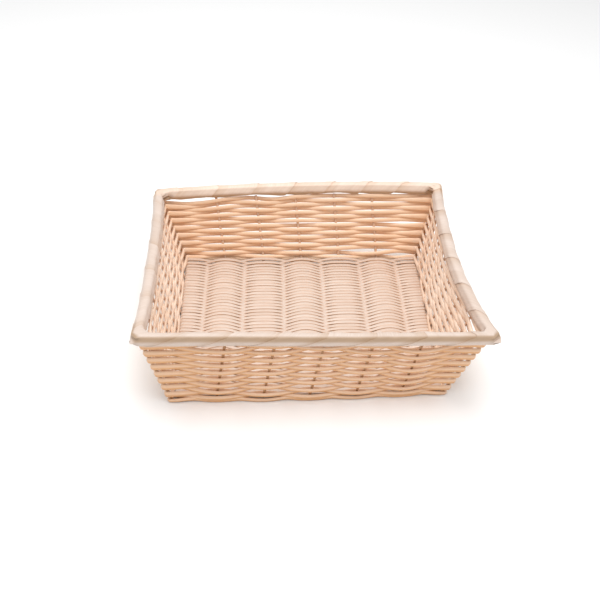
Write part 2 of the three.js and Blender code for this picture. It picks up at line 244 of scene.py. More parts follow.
# Round or oval rings along a path. The reference is a direction that the path never takes
def roundRings(path, halfWidth, halfHeight, sides, reference, closed):
    if closed:
        tangent = np.roll(path, -1, 0) - np.roll(path, 1, 0)
    else:
        tangent = np.gradient(path, axis=0)
    tangent = unitRows(tangent)
    side = unitRows(np.cross(tangent, np.array(reference, float)))
    lift = np.cross(side, tangent)
    angle = 2 * math.pi * (np.arange(sides) + 0.5) / sides
    halfWidth = np.broadcast_to(halfWidth, len(path))
    halfHeight = np.broadcast_to(halfHeight, len(path))
    return (path[:, None, :]
            + (halfWidth[:, None] * np.cos(angle))[:, :, None] * side[:, None, :]
            + (halfHeight[:, None] * np.sin(angle))[:, :, None] * lift[:, None, :])


def finishPiece(piece, material, slotName, *nodes):
    piece.data.materials.clear()
    piece.data.materials.append(material)
    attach(piece, "root")
    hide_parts(*nodes)


# Finishes: streaks, patches and waves of shade are counted along and across the piece's UV map
# each finish's shade is painted shade, laid on the side or edges of a piece where shade falls
finishes = {
    "wallCord": {
        "pale": (0.97, 0.72, 0.52), "deep": (0.90, 0.61, 0.40), "roughness": 0.28, "bump": 0.12,
        "streaks": (60, 9), "patches": (14, 1.2), "shade": (0.78, 0.43, 0.19),
        "shadeWaves": (0, 1), "shadeStart": 0.494, "shadeReach": (-0.2, 0.75),
        "frontPaintedShade": (0.87, 0.82, 0.79),  # painted shade: the cord is darker on the front wall, whose outside gets less light
        "sidePaintedSheen": (1.02, 1.13, 1.31),  # painted sheen: paler on the two sides, where grazing light glances off
    },
    "stakeRod": {
        "pale": (0.82, 0.60, 0.46), "deep": (0.72, 0.48, 0.33), "roughness": 0.5, "bump": 0.1,
        "streaks": (8, 7), "patches": (3, 1), "shade": (0.40, 0.20, 0.09),
        "shadeWaves": (0, 1), "shadeStart": 0.29, "shadeReach": (0.4, 0.9),
    },
    "baseStrand": {
        "pale": (0.69, 0.57, 0.49), "deep": (0.63, 0.485, 0.395), "roughness": 0.4, "bump": 0.1,
        "streaks": (1500, 6), "patches": (260, 1), "shade": (0.64, 0.37, 0.20),
        "shadeWaves": (0, 2), "shadeStart": 0.375, "shadeReach": (0.15, 0.92),
    },
    "rimStrap": {
        "pale": (0.67, 0.555, 0.485), "deep": (0.585, 0.46, 0.38), "roughness": 0.4, "bump": 0.16,
        "streaks": (40, 34), "patches": (26, 3), "shade": (0.43, 0.295, 0.195),
        "shadeWaves": (52, 0), "shadeStart": -0.468, "shadeReach": (0.2, 0.9),
        "shadeBeyond": (0.104, 0.119),  # the strap is shaded at the front and back, not on the sides
        "backPaintedLight": (1.2, 1.16, 1.1),  # painted light: and it is paler at the back, where its inner face stands in its own shade
        "lapShade": (0.90, 0.84, 0.77),  # painted shadow: each turn is darkened towards the lap of the next, whose edge shades it
        "lapReach": (0.62, 0.88),
    },
    # the hoop is dark brown; where the strap leaves it bare inside the back corners, that colour is
    # also painted shade for the hollow there
    "rimCore": {
        "pale": (0.42, 0.27, 0.14), "deep": (0.34, 0.20, 0.10), "roughness": 0.6, "bump": 0.1,
        "streaks": (120, 7), "patches": (40, 2), "shade": (0.30, 0.18, 0.09),
        "shadeWaves": (0, 1), "shadeStart": 0.5, "shadeReach": (0.4, 1.0),
    },
}

# What the finishes share
plastic = {
    "streakDetail": 3,
    "patchDetail": 2,
    "patchShare": 0.5,
    "toneReach": (0.36, 0.62),  # noise that gives the deep tone and the pale one
    "roughnessReach": (-0.08, 0.1),
    "bumpHeight": 0.3 * mm,
}

# Where the painted shade and painted light change from wall to wall, in metres from the middle
paintedLightTurns = {
    "front": (-0.107, -0.113),
    "sides": (0.125, 0.133),
    "ends": (0.117, 0.107),
    "back": (0.108, 0.118),
}


# Plastic with lengthwise streaks, slow changes of colour, painted shade on one side, and tints of
# painted light and shade from wall to wall
def streakedPlastic(name, look):
    material = bpy.data.materials.new(name)
    material.use_nodes = True
    nodes, links = material.node_tree.nodes, material.node_tree.links
    shader = nodes["Principled BSDF"]
    place = nodes.new("ShaderNodeTexCoord")

    def stretchedNoise(scale, detail):
        mapping = nodes.new("ShaderNodeMapping")
        mapping.inputs["Scale"].default_value = (*scale, 1)
        noise = nodes.new("ShaderNodeTexNoise")
        noise.inputs["Scale"].default_value = 1
        noise.inputs["Detail"].default_value = detail
        links.new(place.outputs["UV"], mapping.inputs["Vector"])
        links.new(mapping.outputs["Vector"], noise.inputs["Vector"])
        return noise.outputs["Fac"]

    def separated(vector):
        node = nodes.new("ShaderNodeSeparateXYZ")
        links.new(vector, node.inputs["Vector"])
        return node.outputs

    def calculate(operation, *values):
        node = nodes.new("ShaderNodeMath")
        node.operation = operation
        for socket, value in zip(node.inputs, values):
            if isinstance(value, float):
                socket.default_value = value
            else:
                links.new(value, socket)
        return node.outputs["Value"]

    def mapRange(value, given, wanted=(0, 1), curve="LINEAR"):
        node = nodes.new("ShaderNodeMapRange")
        node.interpolation_type = curve
        for limit, number in zip(("From Min", "From Max", "To Min", "To Max"), (*given, *wanted)):
            node.inputs[limit].default_value = number
        links.new(value, node.inputs["Value"])
        return node.outputs["Result"]

    def lay(tone, factor, below, way="MULTIPLY"):
        node = nodes.new("ShaderNodeMix")
        node.data_type = "RGBA"
        node.blend_type = way
        node.inputs["B"].default_value = (*tone, 1)
        links.new(factor, node.inputs["Factor"])
        links.new(below, node.inputs["A"])
        return node.outputs["Result"]

    streaks = stretchedNoise(look["streaks"], plastic["streakDetail"])
    patches = stretchedNoise(look["patches"], plastic["patchDetail"])
    mix = nodes.new("ShaderNodeMix")  # the streaks lie over the slower patches
    mix.inputs["Factor"].default_value = plastic["patchShare"]
    links.new(streaks, mix.inputs["A"])
    links.new(patches, mix.inputs["B"])
    ramp = nodes.new("ShaderNodeValToRGB")
    for index, tone in enumerate((look["deep"], look["pale"])):
        ramp.color_ramp.elements[index].position = plastic["toneReach"][index]
        ramp.color_ramp.elements[index].color = (*tone, 1)
    links.new(mix.outputs["Result"], ramp.inputs["Fac"])

    waves = nodes.new("ShaderNodeVectorMath")  # the painted shade lies where a wave over the map is high
    waves.operation = "DOT_PRODUCT"
    waves.inputs[1].default_value = [2 * math.pi * count for count in (*look["shadeWaves"], 0)]
    links.new(place.outputs["UV"], waves.inputs[0])
    shifted = calculate("ADD", waves.outputs["Value"], 2 * math.pi * look["shadeStart"])
    shaded = mapRange(calculate("SINE", shifted), look["shadeReach"], curve="SMOOTHSTEP")
    spot = separated(place.outputs["Object"])
    if "shadeBeyond" in look:
        beyond = mapRange(calculate("ABSOLUTE", spot["Y"]), look["shadeBeyond"])
        shaded = calculate("MULTIPLY", shaded, beyond)
    color = lay(look["shade"], shaded, ramp.outputs["Color"], "MIX")
    if "frontPaintedShade" in look:
        onFront = mapRange(spot["Y"], paintedLightTurns["front"])
        beside = mapRange(calculate("ABSOLUTE", spot["X"]), paintedLightTurns["sides"])
        amid = mapRange(calculate("ABSOLUTE", spot["Y"]), paintedLightTurns["ends"])
        # painted shade on the front wall's cords
        color = lay(look["frontPaintedShade"], onFront, color)
        # painted sheen on the side walls' cords
        color = lay(look["sidePaintedSheen"], calculate("MULTIPLY", beside, amid), color)
    # painted light on the back of the strap
    if "backPaintedLight" in look:
        color = lay(look["backPaintedLight"], mapRange(spot["Y"], paintedLightTurns["back"]), color)
    # painted shadow beside the lapping edge of each turn
    if "lapShade" in look:
        acrossMap = separated(place.outputs["UV"])["Y"]
        color = lay(look["lapShade"], mapRange(acrossMap, look["lapReach"]), color)
    links.new(color, shader.inputs["Base Color"])

    roughness = [look["roughness"] + change for change in plastic["roughnessReach"]]
    links.new(mapRange(streaks, (0, 1), roughness), shader.inputs["Roughness"])
    bump = nodes.new("ShaderNodeBump")
    bump.inputs["Strength"].default_value = look["bump"]
    bump.inputs["Distance"].default_value = plastic["bumpHeight"]
    links.new(streaks, bump.inputs["Height"])
    links.new(bump.outputs["Normal"], shader.inputs["Normal"])
    return material


wallCordPlastic = streakedPlastic("wall_cord_plastic", finishes["wallCord"])
stakeRodPlastic = streakedPlastic("stake_rod_plastic", finishes["stakeRod"])
baseStrandPlastic = streakedPlastic("base_strand_plastic", finishes["baseStrand"])
rimStrapPlastic = streakedPlastic("rim_strap_plastic", finishes["rimStrap"])
rimCorePlastic = streakedPlastic("rim_core_plastic", finishes["rimCore"])
print("finishes mixed")

# Wall rows: each cord passes outside one stake and inside the next
rows = {
    "count": 16,
    "firstLevel": 7.95,
    "lastLevel": 76.96,
    "stakeHalfWidth": 1.45,  # the cord's section where it presses on a stake
    "stakeHalfHeight": 2.5,
    "frontHalfHeight": 2.15,  # the front wall is drawn tighter
    "cornerHalfHeight": 3.5,
    "sideStakeHalfWidth": 1.1,
    "sideHalfHeight": 4.0,
    "bayHalfWidth": 1.75,  # its section where two rows cross between stakes
    "bayHalfHeight": 2.35,
    "sideBayHalfHeight": 2.9,
    "cornerBayHalfHeight": 2.6,  # in the two end bays of the front wall
    "pressPower": 1.3,  # how fast the first section gives way to the second
    "swell": 0.05,  # share by which its distance from the stakes varies
    "cornerRise": 3,  # the rows climb to the two front corners
    "cornerRiseRows": 3,  # fully from this row upwards
    "frontClimb": (-1.0, 1.9, 3.6, 2.0, -1.6),  # and climb or fall at the five front stakes
    "climbRows": 6,
    "firstHalfHeight": 2.7,  # the first row is fuller outside the front stakes
    "firstRise": 0.5,
    "lowestHalfHeight": 3.2,  # and so is the lowest cord inside each of them
    "lowestDrop": 1.0,
    "nextDrop": 0.7,  # the cord above that one lies lower too
    # how far the first and last rows are shifted on each wall
    "spread": {"front": (-1.85, 1.05), "side": (-1.9, 0.4), "back": (-1.0, 0)},
    "weaveOffset": 2.5,  # stake's middle to cord's middle
    "sideWeaveOffset": 1.3,  # the side stakes are slimmer
    "droop": 0.27,  # how much lower a cord lies per millimetre that it stands out of the leaning wall
    "innerCorner": 1.5,  # bend of a cord that passes inside a corner post
    "cornerSteps": 8,
    "stepsPerBay": 14,
    "sides": 10,
    "wander": 0.25,  # how far a cord strays up and down
    "floorGap": 0.2,
    "footLevel": 4.15,
    "footHalfHeight": 2.45,
    "frontFootHalfHeight": (1.7, 2.9),  # at front stakes that the first row passes inside and outside
    "frontFootDrop": (1.25, 0.1),
    "cornerFootShare": 0.5,  # share of that drop at the two front corners
    "footSlack": 0.35,  # share of the offset that the foot row keeps between stakes
    "footPower": 1.5,  # how fast it is drawn in
    # where the rows stand apart: at a stake (0 is the front left corner), above a row, this far open
    "slits": (
        {"at": 16.0, "span": 0.8, "row": 8.5, "open": 2.0},
        {"at": 13.5, "span": 0.8, "row": 8.5, "open": 2.0},
        {"at": 14.35, "span": 0.95, "row": 1.5, "open": 3.6},
        {"at": 13.45, "span": 0.6, "row": 0.5, "open": 3.8},
        {"at": 18.5, "span": 0.9, "row": 15.5, "open": 9.0},
        {"at": 16.6, "span": 0.7, "row": 15.5, "open": 5.0},
        {"at": 17.6, "span": 0.7, "row": -0.5, "open": 3.0},
        {"at": 11.8, "span": 0.7, "row": 1.5, "open": 3.6},
        {"at": 11.2, "span": 0.6, "row": 2.5, "open": 3.0},
        {"at": 10.5, "span": 0.8, "row": 1.5, "open": 4.2},
        {"at": 10.0, "span": 0.7, "row": 2.5, "open": 4.0},
        {"at": 9.2, "span": 0.7, "row": 2.5, "open": 3.4},
        {"at": 8.6, "span": 0.6, "row": 1.5, "open": 3.0},
        {"at": 20.5, "span": 0.8, "row": 1.5, "open": 4.0},
        {"at": 21.6, "span": 0.7, "row": 2.5, "open": 3.2},
        {"at": 22.5, "span": 0.7, "row": 1.5, "open": 3.6},
        {"at": 23.3, "span": 0.6, "row": 2.5, "open": 3.0},
    ),
    "slitReach": 5,  # rows that give way on each side of a slit
}


def slitLift(row, place):
    lift = np.zeros_like(place)
    for slit in rows["slits"]:
        away = np.clip(np.abs(place - slit["at"]) / slit["span"], 0, 1)
        window = np.cos(away * math.pi / 2) ** 2
        steps = row - slit["row"]
        give = max(0, 1 - (abs(steps) - 0.5) / rows["slitReach"])
        lift += 0.5 * slit["open"] * give * window * (1 if steps > 0 else -1)
    return lift


# Rows above the lowest one that passes inside this front stake
def rowsAbove(row, index):
    return row - index % 2


def frontRise(row, index):
    above = rowsAbove(row, index)
    if above == 0:
        return -rows["lowestDrop"]
    if isCorner[index]:
        return rows["cornerRise"] * min(1, (row + 1) / rows["cornerRiseRows"])
    if above < 0:
        return rows["firstRise"]
    climb = rows["frontClimb"][index - 1] * min(1, row / rows["climbRows"])
    return climb - (rows["nextDrop"] if above == 1 else 0)


def stakeHeight(row, index, isFoot):
    if isFoot:
        return rows["frontFootHalfHeight"][index % 2] if isFront(index) else rows["footHalfHeight"]
    if isFront(index) and rowsAbove(row, index) <= 0:
        return rows["lowestHalfHeight" if rowsAbove(row, index) == 0 else "firstHalfHeight"]
    if isCorner[index]:
        return rows["cornerHalfHeight"]
    if isSide(index):
        return rows["sideHalfHeight"]
    return rows["frontHalfHeight" if isFront(index) else "stakeHalfHeight"]


def bayHeight(index):
    if isSide(index):
        return rows["sideBayHalfHeight"]
    isFrontEnd = index in (frontLeftPost, frontRightPost - 1)
    return rows["cornerBayHalfHeight" if isFrontEnd else "bayHalfHeight"]


def wallShift(row, index, isFoot):
    def spreadOn(wall):
        low, high = rows["spread"][wall]
        return low + (high - low) * row / (rows["count"] - 1)

    if isFoot:
        if not isFront(index):
            return 0
        return -rows["frontFootDrop"][index % 2] * (rows["cornerFootShare"] if isCorner[index] else 1)
    rise = frontRise(row, index) if isFront(index) else 0
    wall = "front" if isFront(index) else "back"
    if isCorner[index]:
        return rise + 0.5 * (spreadOn("side") + spreadOn(wall))
    return rise + spreadOn("side" if isSide(index) else wall)


# Middle line of a row. Sides says for each stake whether the cord passes outside (1) or inside (-1)
def rowPath(row, level, sides, slack):
    places = stakePlaces(level)
    isFoot = slack is not None
    slim = [isSide(index) and not isCorner[index] for index in range(stakeTotal)]
    offsets = [rows["sideWeaveOffset" if isSlim else "weaveOffset"] for isSlim in slim]
    innerBack = rows["weaveOffset"] + rows["innerCorner"]
    strays = [dice.uniform(-1, 1) * rows["wander"] for _ in range(stakeTotal)]
    strays = [stray + wallShift(row, index, isFoot) for index, stray in enumerate(strays)]
    sags = [dice.uniform(-1, 1) * rows["wander"] for _ in range(stakeTotal)]
    pressed = [stakeHeight(row, index, isFoot) for index in range(stakeTotal)]
    thinned = [rows["sideStakeHalfWidth" if isSlim else "stakeHalfWidth"] for isSlim in slim]
    swells = [1 + rows["swell"] * dice.uniform(-1, 1) for _ in range(stakeTotal)]
    runs = np.roll(places, -1, 0) - places
    lengths, directions = np.linalg.norm(runs, axis=1), unitRows(runs)
    outwards = np.column_stack((directions[:, 1], -directions[:, 0]))
    flares = (stakeHeads - stakeFeet) / (basket["hoopLevel"] - basket["footLevel"])
    points, stations, lifts, widths, heights = [], [], [], [], []

    def addPoint(spot, station, lift, width, height):
        points.append(spot)
        stations.append(station)
        lifts.append(lift)
        widths.append(width)
        heights.append(height)

    def lean(index, droop, out):
        if isFront(index) and isCorner[index] and out < 0:  # inside a front corner it isn't lifted
            return 0
        return -droop * out

    for index in range(stakeTotal):
        following = (index + 1) % stakeTotal
        here, along, outward = places[index], directions[index], outwards[index]
        droop = rows["droop"] + 0.5 * (flares[index] + flares[following]) @ outward
        offset = offsets[index]
        start, end = sides[index], sides[following]
        if isCorner[index]:
            outwardBefore = outwards[index - 1]
            corner = here - offset * (outward + outwardBefore)
            first = here - directions[index - 1] * innerBack - outwardBefore * offset
            last = here + along * innerBack - outward * offset
            lift = strays[index] + lean(index, droop, start * offset)
            for share in np.linspace(0, 1, rows["cornerSteps"])[1:-1]:
                if start > 0:  # round the post
                    angle = share * math.pi / 2
                    turn = outwardBefore * math.cos(angle) + outward * math.sin(angle)
                    spot = here + offset * turn / np.linalg.norm(turn)
                else:  # across the corner
                    spot = roundOff(first, corner, last, share)
                addPoint(spot, index, lift, thinned[index], pressed[index])
        near = innerBack if isCorner[index] and start < 0 else 0
        far = innerBack if isCorner[following] and end < 0 else 0
        outHere = start * offset * swells[index]
        outAfter = end * offsets[following] * swells[following]
        leanHere, leanAfter = lean(index, droop, outHere), lean(following, droop, outAfter)
        for share in np.arange(rows["stepsPerBay"]) / rows["stepsPerBay"]:
            ease = 0.5 - 0.5 * math.cos(math.pi * share)
            nearness = abs(math.cos(math.pi * share))  # 1 at a stake, 0 between two
            out = blend(outHere, outAfter, ease)
            leaning = blend(leanHere, leanAfter, ease)
            if isFoot:  # drawn in between stakes
                out = offset * blend(slack, 1, nearness ** rows["footPower"])
                leaning = -droop * out
            sag = sags[index] * math.sin(math.pi * share) ** 2
            lift = blend(strays[index], strays[following], ease) + sag + leaning
            width = blend(thinned[index], thinned[following], ease)
            height = blend(pressed[index], pressed[following], ease)
            bay = height if isFoot else bayHeight(index)
            press = nearness ** rows["pressPower"]
            width, height = blend(rows["bayHalfWidth"], width, press), blend(bay, height, press)
            spot = here + along * (near + share * (lengths[index] - near - far)) + outward * out
            addPoint(spot, index + share, lift, width, height)
    levels = level + np.array(lifts)
    if not isFoot:
        levels = levels + slitLift(row, np.array(stations, float))
    levels = np.maximum(levels, np.array(heights) + rows["floorGap"])
    return np.column_stack((np.array(points), levels)), np.array(widths), np.array(heights)


def weaveRow(name, node, row, level, sides, slack=None):
    path, halfWidth, halfHeight = rowPath(row, level, sides, slack)
    rings = roundRings(path, halfWidth, halfHeight, rows["sides"], upward, True)
    finishPiece(bendTube(name, rings, True), wallCordPlastic, "wall_cord", node)


rowPitch = (rows["lastLevel"] - rows["firstLevel"]) / (rows["count"] - 1)
for row in range(rows["count"]):
    # the front wall is a step on, so a cord keeps to one side for two stakes beside its corners
    sides = [1 if (index + row + isFront(index)) % 2 == 0 else -1 for index in range(stakeTotal)]
    nodeName = f"woven_row_{row + 1:02d}"
    weaveRow(f"wall_cord_{row + 1:02d}", nodeName, row, rows["firstLevel"] + row * rowPitch, sides)
weaveRow("foot_cord", "foot_row", -1, rows["footLevel"], [1] * stakeTotal, rows["footSlack"])
print("wall rows woven")

# Rods: U-shaped ribs, corner posts, side stakes and the two rods inside the mat's side edges
rods = {
    "radius": 1.5,
    "sideRadius": 1.1,
    "sides": 12,
    "bendRadius": 4.5,
    "bendSteps": 8,
    "wallSteps": 8,
    "matSteps": 12,
    "top": 79.1,
    "bottom": 0.9,
    "ribLevel": 2.75,
    "ribRise": 1.2,  # every other rib lies higher
    "edgePlace": 126.8,
    "matHalfDepth": 105.2,
}


def stakePoint(index, level):
    return np.array((*stakePlaces(level)[index], level))


def roundedBend(before, corner, after):
    toBefore = (before - corner) / np.linalg.norm(before - corner)
    toAfter = (after - corner) / np.linalg.norm(after - corner)
    half = math.acos(np.clip(toBefore @ toAfter, -1, 1)) / 2
    middle = toBefore + toAfter
    centre = corner + middle / np.linalg.norm(middle) * rods["bendRadius"] / math.sin(half)
    tangent = rods["bendRadius"] / math.tan(half)
    start, end = corner + toBefore * tangent - centre, corner + toAfter * tangent - centre
    turn = math.pi - 2 * half
    bend = []
    for share in np.linspace(0, 1, rods["bendSteps"]):
        swung = start * math.sin((1 - share) * turn) + end * math.sin(share * turn)
        bend.append(centre + swung / math.sin(turn))
    return bend


def between(start, end, steps):
    return [start + (end - start) * share for share in np.linspace(0, 1, steps)]


def makeRod(name, node, path, radius, reference=(1, 0, 0)):
    rings = roundRings(np.array(path), radius, radius, rods["sides"], reference, False)
    finishPiece(bendTube(name, rings, False), stakeRodPlastic, "stake_rod", node)


def makeUpright(name, node, index, *section):
    ends = stakePoint(index, rods["top"]), stakePoint(index, rods["bottom"])
    makeRod(name, node, between(*ends, rods["wallSteps"]), *section)


for rib, x in enumerate(basket["ribPlaces"]):
    level = rods["ribLevel"] + (rods["ribRise"] if rib % 2 == 0 else 0)
    frontIndex, backIndex = frontLeftPost + 1 + rib, backLeftPost - 1 - rib
    frontTop, backTop = stakePoint(frontIndex, rods["top"]), stakePoint(backIndex, rods["top"])
    frontFoot, backFoot = stakePoint(frontIndex, level), stakePoint(backIndex, level)
    matFront = np.array((x, -rods["matHalfDepth"], level))
    matBack = np.array((x, rods["matHalfDepth"], level))
    frontBend = roundedBend(frontTop, frontFoot, matFront)
    backBend = roundedBend(matBack, backFoot, backTop)
    path = between(frontTop, frontBend[0], rods["wallSteps"])[:-1] + frontBend
    path += between(frontBend[-1], backBend[0], rods["matSteps"])[1:-1]
    path += backBend + between(backBend[-1], backTop, rods["wallSteps"])[1:]
    makeRod(f"rib_rod_{rib + 1}", f"rib_{rib + 1}", path, rods["radius"])
for index, corner in zip(cornerPosts, ("front_left", "front_right", "back_right", "back_left")):
    makeUpright(f"{corner}_post_rod", f"{corner}_corner_post", index, rods["radius"])
for number in range(1, len(basket["sidePlaces"]) + 1):
    sideIndexes = {"right": frontRightPost + number, "left": stakeTotal - number}
    for side, sign in (("right", 1), ("left", -1)):
        rodName, nodeName = f"{side}_side_rod_{number}", f"{side}_stake_{number}"
        makeUpright(rodName, nodeName, sideIndexes[side], rods["sideRadius"], (0, sign, 0))
for side, sign in (("left", -1), ("right", 1)):
    x, y, level = sign * rods["edgePlace"], rods["matHalfDepth"], rods["ribLevel"]
    path = between(np.array((x, -y, level)), np.array((x, y, level)), rods["matSteps"])
    makeRod(f"{side}_mat_rod", f"{side}_edge_rod", path, rods["radius"])
print("rods set up")

# Base mat: one flat strand, woven to and fro over the rods and turned back round the edge rods
mat = {
    "picks": 85,
    "pitch": 2.540,
    "overHalf": 0.85,  # half its thickness over a rod
    "underHalf": 0.6,  # and under one
    "dip": 1.0,  # how much lower it lies between rods
    "dipPower": 4,  # how near to the middle of the bay
    "flatPower": 0.7,  # how steeply it dives from the low rods
    "bow": 2.2,  # how far it bows to the back over a raised rib
    "bowReach": 22,
    "straightEdge": 16,  # it runs straighter this near to the front and back walls
    "climb": 2.5,  # and climbs where the ribs bend up
    "wideHalf": 2.34,  # half its width over a rod
    "swell": 0.05,  # share by which that varies
    "narrowHalf": 1.9,  # half its width where two picks pass each other
    "narrowReach": (0.06, 0.34),  # shares of a bay from its middle
    "stepsPerBay": 12,
    "turnSteps": 7,
    "sides": 8,
    "stray": 0.24,
}


def matStrand():
    rodPlaces = [-rods["edgePlace"], *basket["ribPlaces"], rods["edgePlace"]]
    rodCount = len(rodPlaces)
    rodLevels = [rods["ribLevel"] + rods["ribRise"] * (rod % 2) for rod in range(rodCount)]
    over, under = rods["radius"] + mat["overHalf"], rods["radius"] + mat["underHalf"]
    shares = np.arange(mat["stepsPerBay"]) / mat["stepsPerBay"]
    halfDepth = mat["pitch"] * mat["picks"] / 2
    points, widths, thicks = [], [], []

    def addPoint(x, y, z, width, thick):
        points.append((x, y, z))
        widths.append(width)
        thicks.append(thick)

    def bowedBack(x, y):
        away = min(abs(x - rib) for rib in basket["ribPlaces"][::2])
        bow = mat["bow"] * math.cos(math.pi / 2 * min(1, away / mat["bowReach"])) ** 2
        return bow * smoothStep(0, mat["straightEdge"], halfDepth - abs(y))

    for pick in range(mat["picks"]):
        y = (pick - (mat["picks"] - 1) / 2) * mat["pitch"]
        strays = [dice.uniform(-1, 1) * mat["stray"] for _ in rodPlaces]
        wide = mat["wideHalf"] * (1 + mat["swell"] * dice.uniform(-1, 1))
        order = list(range(rodCount))
        if pick % 2 == 1:
            order.reverse()
        isOver = [(pick + rod) % 2 == 0 for rod in range(rodCount)]
        heights = [level + (over if isOver[rod] else -under) for rod, level in enumerate(rodLevels)]
        for rod, following in zip(order[:-1], order[1:]):
            for share in shares:
                flat = 2 * share - 1
                if pick % 2 == 0:  # over the low rods it lies flat and dives steeply
                    flat = math.copysign(abs(flat) ** mat["flatPower"], flat)
                ease = 0.5 - 0.5 * math.cos(math.pi * (0.5 + 0.5 * flat))
                x = blend(rodPlaces[rod], rodPlaces[following], share)
                z = blend(heights[rod], heights[following], ease)
                z -= mat["dip"] * math.sin(math.pi * share) ** mat["dipPower"]
                squeeze = smoothStep(*mat["narrowReach"], abs(share - 0.5))
                width = blend(mat["narrowHalf"], wide, squeeze)
                overShare = blend(isOver[rod], isOver[following], ease)
                thick = blend(mat["underHalf"], mat["overHalf"], overShare)
                stray = blend(strays[rod], strays[following], share)
                addPoint(x, y + stray + bowedBack(x, y), z, width, thick)
        last = order[-1]
        endSign = 1 if pick % 2 == 0 else -1
        rise = 1 if isOver[last] else -1
        for share in np.linspace(0, 1, mat["turnSteps"], endpoint=False):
            angle = math.pi * share
            lowShare = share if isOver[last] else 1 - share
            reach = blend(over, under, lowShare)
            addPoint(
                rodPlaces[last] + endSign * reach * math.sin(angle),
                y + strays[last] * (1 - share) + mat["pitch"] * share,
                rodLevels[last] + rise * reach * math.cos(angle),
                wide,
                blend(mat["overHalf"], mat["underHalf"], lowShare),
            )
    path = np.array(points)
    nearWall = smoothStep(halfDepth - mat["straightEdge"], halfDepth, np.abs(path[:, 1]))
    path[:, 2] += mat["climb"] * nearWall ** 2
    tangent = np.gradient(path, axis=0)
    tangent[:, 1] = 0
    tangent = unitRows(tangent)
    normal = np.column_stack((-tangent[:, 2], np.zeros(len(path)), tangent[:, 0]))
    angle = 2 * math.pi * (np.arange(mat["sides"]) + 0.5) / mat["sides"]
    across = np.cos(angle) / np.max(np.cos(angle))
    through = np.sin(angle) / np.max(np.sin(angle))
    rings = path[:, None, :] + (np.array(thicks)[:, None] * through)[:, :, None] * normal[:, None, :]
    rings[:, :, 1] += np.array(widths)[:, None] * across[None, :]
    return rings


strand = bendTube("base_mat_strand", matStrand(), False)
finishPiece(strand, baseStrandPlastic, "base_strand", "base_mat")
print("base mat woven")

# Rim: one wide strap wound round the hoop, each turn lapped over the one before
strap = {
    "turns": 26,
    "hoopHalfWidth": 3.9,
    "hoopHalfHeight": 4.2,
    "hoopSides": 12,
    "hoopStride": 6,  # points of the rim's line to each ring of the hoop
    "lineSteps": 200,
    "runSteps": 180,
    "cornerSteps": 12,
    "halfWidth": 6.1,
    "halfHeight": 6.25,
    "squareness": 2.25,
    "waist": 0.9,  # how far its upright faces are drawn in below the top edge
    "waistLevel": 3,
    "waistReach": 1.8,
    "faces": (0, 0.125, 0.375, 0.625, 0.875, 1),  # shares of a turn: bottom, outer, top, inner, bottom
    "advance": (0, 0.03, 0.62, 0.74, 0.97, 1),  # share of the turn's run that is done where a face ends
    "sag": 1.0,  # how far a turn hangs clear under the hoop
    "frontSagLoss": 0.5,  # share of that which the front rim loses
    "sagReach": (0.3, 1),  # shares of its half height below the middle
    "swayWaves": 1.5,  # half waves of that across its width
    "swayShift": 2.4,  # how far they shift from turn to turn
    "frontTuck": 0.22,  # share by which the front rim is thinner below
    "frontTurn": (-112, -124),  # and where along y that begins and is full
    "thickness": 0.5,
    "overlap": 6,
    "uneven": 2.2,  # how far its edges stray along the rim
    "lift": 0.5,  # how far a lapping edge stands off the turn under it
    "lapFull": 0.5,  # in full over this share of the lap
    "lapFade": 0.22,  # and not at all this share of its width beyond
    "stepsPerTurn": 28,
    "stepsAcross": 16,
    "firstEdge": 6,
    "outerCorner": 1.5,  # its corners are sharp outside
    "innerCorner": 10,
    "sideBlend": 4,  # one corner gives way to the other this near to the hoop's middle
    "mitre": 8,  # how squarely it goes round a corner
    "cornerReach": (5, 16),  # it begins to hang, and hangs in full, this far from a corner
    "gapShare": 0.79,  # it leaves the hoop bare inside the back corners
    "gapReach": 0.08,
    "gapLength": (3, 7),
    "gapSink": 0.55,
    "crease": 0.12,
    "creaseWaves": {"across": 21, "bend": 3, "bendRate": 0.31, "along": 1.7, "slant": 5},
    "smoothAngle": 40,
}


# Middle line of the rim, rounded off this far from its corners
def rimLine(trim):
    left, right, depth = basket["leftBow"], basket["rightBow"], basket["headHalfDepth"]
    ys = np.linspace(-depth, depth, strap["lineSteps"])
    rightSide = np.array([(sideRimPlace(y, right), y) for y in ys])
    leftSide = np.array([(-sideRimPlace(y, left), y) for y in ys[::-1]])
    front = np.linspace(leftSide[-1], rightSide[0], strap["lineSteps"])
    back = np.linspace(rightSide[-1], leftSide[0], strap["lineSteps"])
    runs = []
    for side in (front, rightSide, back, leftSide):
        travel = np.concatenate(([0], np.cumsum(np.linalg.norm(np.diff(side, axis=0), axis=1))))
        spots = np.linspace(trim, travel[-1] - trim, strap["runSteps"])
        runs.append(np.column_stack([np.interp(spots, travel, side[:, axis]) for axis in (0, 1)]))
    corners = (rightSide[0], rightSide[-1], leftSide[0], leftSide[-1])
    outline = []
    for index, (run, corner) in enumerate(zip(runs, corners)):
        after = runs[(index + 1) % 4][0]
        outline.extend(run)
        for share in np.linspace(0, 1, strap["cornerSteps"])[1:-1]:
            outline.append(roundOff(run[-1], corner, after, share))
    return np.array(outline)


# The line with its outward direction beside it, and its first point again at the end
def closeLine(outline):
    tangent = unitRows(np.roll(outline, -1, 0) - np.roll(outline, 1, 0))
    outward = np.column_stack((tangent[:, 1], -tangent[:, 0]))
    power = strap["mitre"]
    outward /= (np.abs(outward) ** power).sum(1)[:, None] ** (1 / power)
    return np.column_stack((np.vstack((outline, outline[:1])), np.vstack((outward, outward[:1]))))


